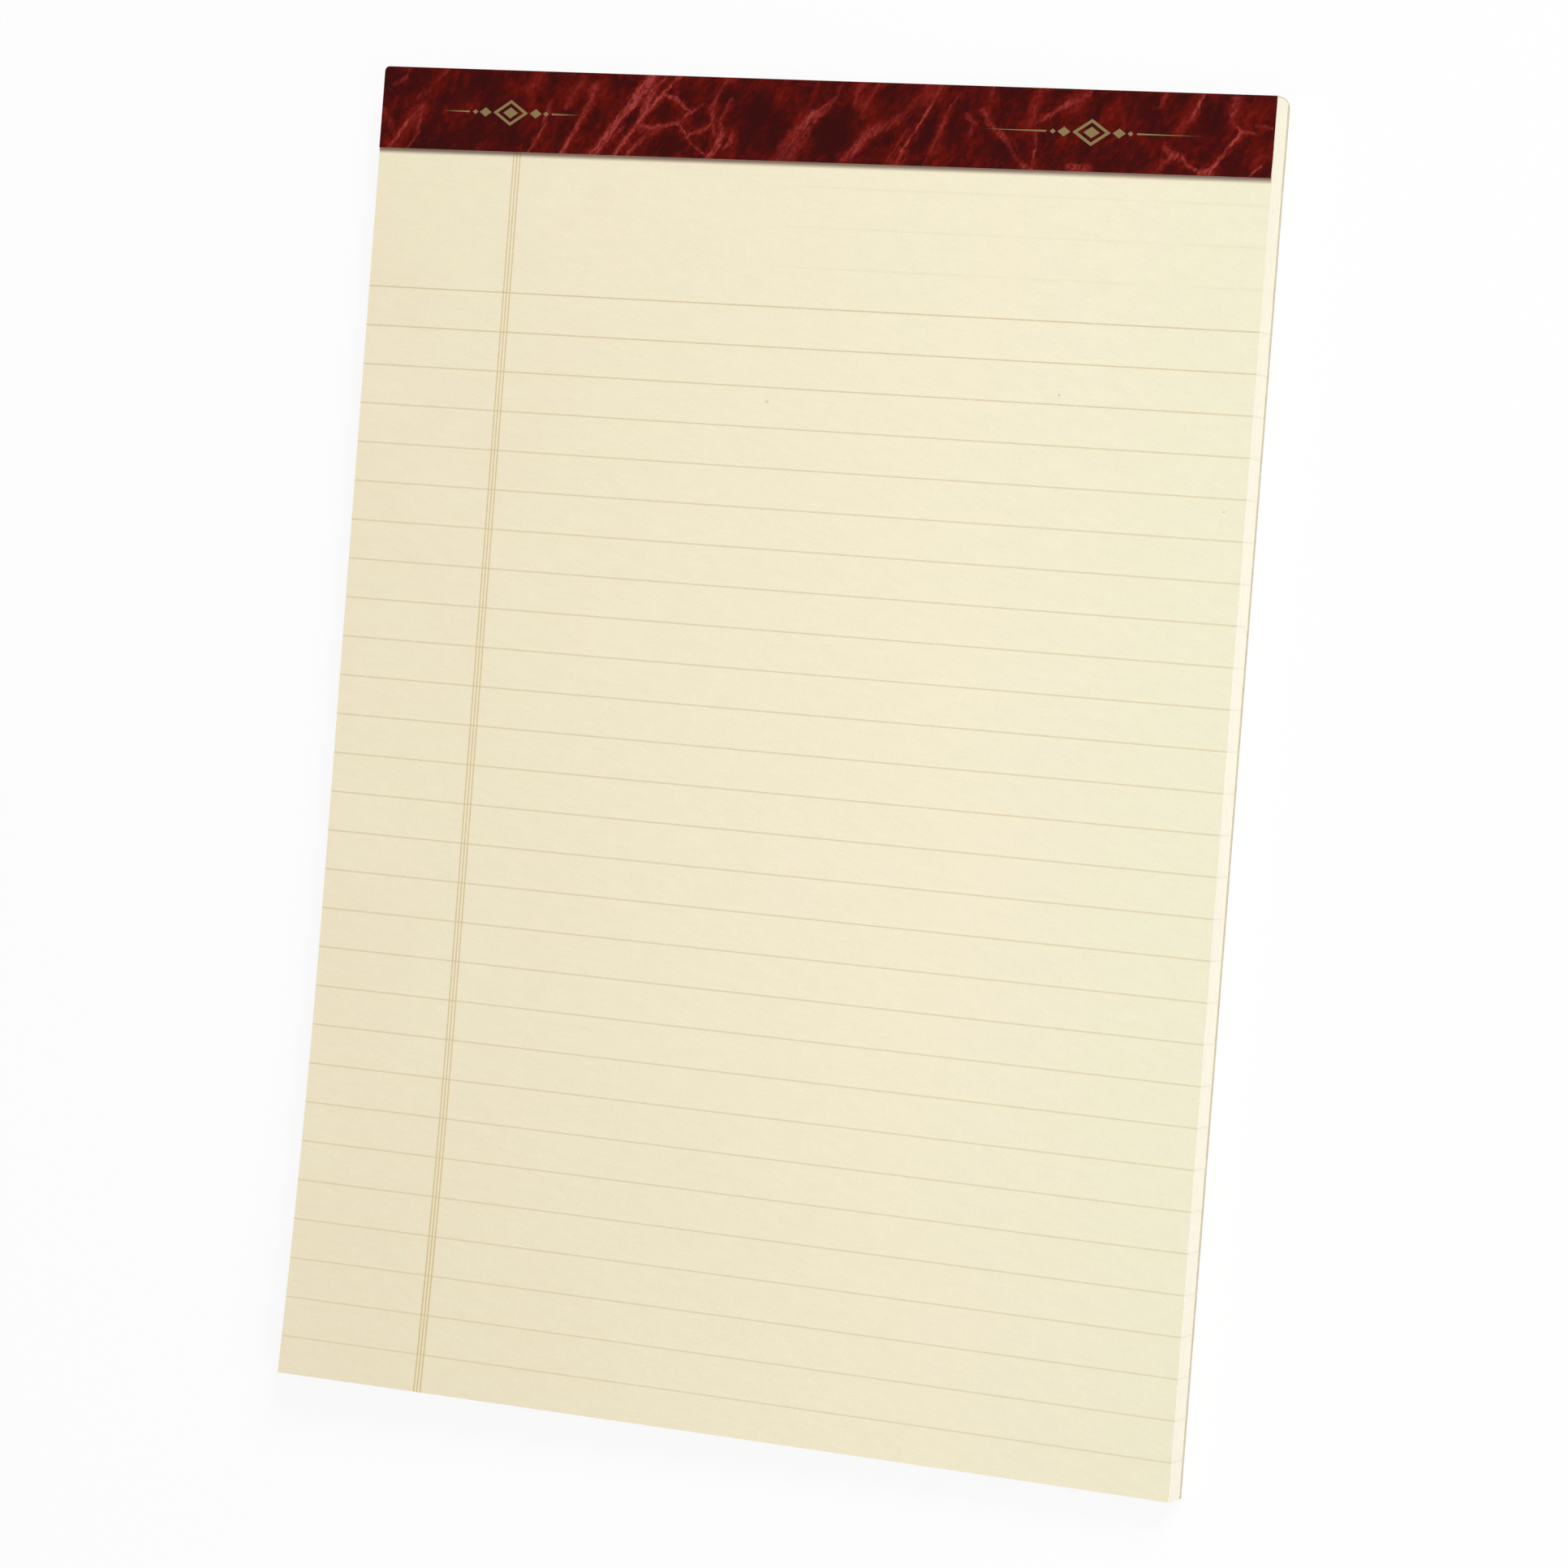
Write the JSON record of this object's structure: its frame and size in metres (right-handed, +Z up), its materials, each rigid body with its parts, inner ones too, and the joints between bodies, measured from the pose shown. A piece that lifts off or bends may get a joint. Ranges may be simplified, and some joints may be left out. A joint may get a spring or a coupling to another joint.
{
  "type": "legal pad",
  "caption": "Letter-width ruled writing pad lying face up, bound at the head by a folded dark red marbled strip over a chipboard back, with one sheet corner curled up.",
  "frame": {"origin": "middle of the underside, on the surface that the pad lies on", "axes": "+X across the page from its left edge to its right, +Y along the page to the bound head, +Z up out of the page"},
  "size_m": [0.216, 0.2984, 0.0121],
  "materials": {
    "chipboard": "light grey-brown fibrous board, matte",
    "writing_paper": "cream writing paper with tan ruling and a triple margin line, matte",
    "marbled_band": "dark red marbled binding paper with rosy veins, faint sheen",
    "stitching_wire": "tinned steel stitching wire"
  },
  "bodies": {
    "root": {"backing_board": "chipboard", "sheet_block": "writing_paper", "binding_strip": "marbled_band", "binding_stitch_1": "stitching_wire", "binding_stitch_2": "stitching_wire", "binding_stitch_3": "stitching_wire", "binding_stitch_4": "stitching_wire"}
  },
  "joints": []
}
